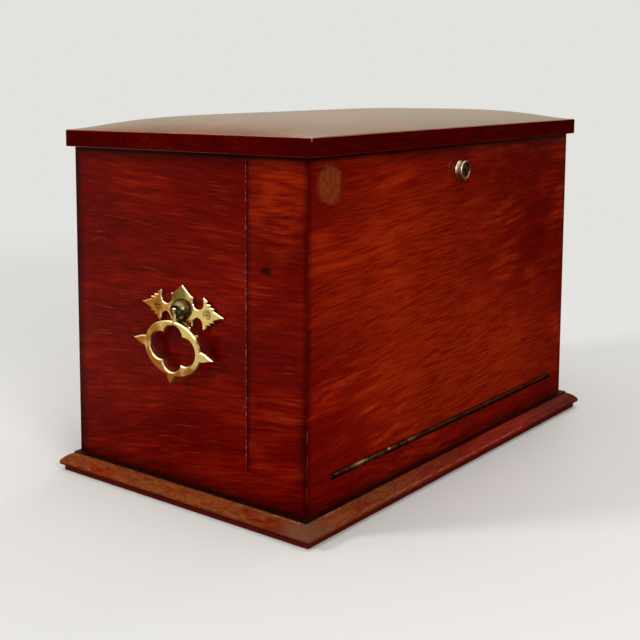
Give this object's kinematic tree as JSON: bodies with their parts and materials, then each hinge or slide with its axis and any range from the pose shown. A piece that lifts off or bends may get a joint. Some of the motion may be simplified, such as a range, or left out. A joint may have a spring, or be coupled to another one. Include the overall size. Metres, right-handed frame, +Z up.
{
  "type": "writing slope",
  "caption": "Tabletop writing box on a moulded plinth, with a lifting domed lid, a fall front that opens to a writing slope, a letter rack, inkwells and drop-ring handles.",
  "frame": {"origin": "middle of the plinth underside, on the surface the box stands on", "axes": "+X to the right along the width, -Y towards the front with the lock, +Z up"},
  "size_m": [0.4192, 0.2378, 0.2725],
  "materials": {
    "mahogany": "French-polished red mahogany with a fine horizontal figure, worn on its arrises",
    "inner_wood": "plain oiled mahogany inside",
    "brass": "polished cast brass with dark recesses",
    "steel": "polished nickel silver, aged",
    "leather": "dark red writing leather",
    "glass": "clear moulded glass"
  },
  "bodies": {
    "carcass": {"back_panel": "mahogany", "base_board": "inner_wood", "fall_hinge_lower_leaf": "brass", "fall_hinge_pin": "brass", "front_sill": "mahogany", "handle_boss_left": "brass", "handle_boss_right": "brass", "handle_plate_left": "brass", "handle_plate_right": "brass", "handle_ring_pins": "brass", "handle_screws": "brass", "hinge_rail": "inner_wood", "inkwell_collar_left": "brass", "inkwell_collar_right": "brass", "inkwell_left": "glass", "inkwell_pins": "brass", "inkwell_right": "glass", "lid_hinge_lower_leaves": "brass", "lid_hinge_pins": "brass", "pen_tray": "inner_wood", "plinth_back": "mahogany", "plinth_front": "mahogany", "plinth_left": "mahogany", "plinth_right": "mahogany", "rack_divider_back": "inner_wood", "rack_divider_front": "inner_wood", "rack_divider_middle": "inner_wood", "rack_end_left": "inner_wood", "rack_end_right": "inner_wood", "side_left": "mahogany", "side_right": "mahogany"},
    "lid": {"lid_board": "mahogany", "lid_hinge_upper_leaves": "brass", "lock_strike": "brass"},
    "fall": {"fall_front": "mahogany", "fall_cheek_left": "mahogany", "fall_cheek_right": "mahogany", "fall_foot_rail": "inner_wood", "fall_head_rail": "inner_wood", "flap_ledges": "inner_wood", "fall_hinge_upper_leaf": "brass", "flap_hinge_fixed_leaves": "brass", "flap_hinge_pins": "brass", "lock_case": "brass", "lock_nozzle": "steel"},
    "writing_flap": {"writing_flap": "inner_wood", "writing_leather": "leather", "flap_pull": "leather", "flap_hinge_moving_leaves": "brass"},
    "lock_bolt": {"lock_bolt": "steel"},
    "ring_left": {"handle_ring_left": "brass"},
    "ring_right": {"handle_ring_right": "brass"},
    "inkwell_lid_left": {"inkwell_lid_left": "brass"},
    "inkwell_lid_right": {"inkwell_lid_right": "brass"}
  },
  "joints": [
    {"name": "lid_hinge", "type": "hinge", "parent": "carcass", "child": "lid", "pos_m": [0, 0.1122, 0.24965], "axis": [-1, 0, 0], "range_deg": [0, 100]},
    {"name": "fall_hinge", "type": "hinge", "parent": "carcass", "child": "fall", "pos_m": [0, -0.107, 0.0355], "axis": [1, 0, 0], "range_deg": [0, 97.5]},
    {"name": "writing_flap_hinge", "type": "hinge", "parent": "fall", "child": "writing_flap", "pos_m": [0, -0.0548, 0.0458], "axis": [-1, 0, 0], "range_deg": [0, 30]},
    {"name": "lock_bolt_slide", "type": "slide", "parent": "fall", "child": "lock_bolt", "axis": [0, 0, 1], "range_m": [0, 0.005]},
    {"name": "ring_left_swing", "type": "hinge", "parent": "carcass", "child": "ring_left", "pos_m": [-0.2039, -0.0007, 0.1397], "axis": [0, 1, 0], "range_deg": [-4, 100]},
    {"name": "ring_right_swing", "type": "hinge", "parent": "carcass", "child": "ring_right", "pos_m": [0.2039, -0.0007, 0.1397], "axis": [0, -1, 0], "range_deg": [-4, 100]},
    {"name": "inkwell_lid_left_hinge", "type": "hinge", "parent": "carcass", "child": "inkwell_lid_left", "pos_m": [-0.161, -0.0222, 0.05315], "axis": [-1, 0, 0], "range_deg": [0, 90]},
    {"name": "inkwell_lid_right_hinge", "type": "hinge", "parent": "carcass", "child": "inkwell_lid_right", "pos_m": [0.161, -0.0222, 0.05315], "axis": [-1, 0, 0], "range_deg": [0, 90]}
  ],
  "couplings": [
    {"joint": "fall_hinge", "follows": "lid_hinge", "ratio": 0.975}
  ]
}
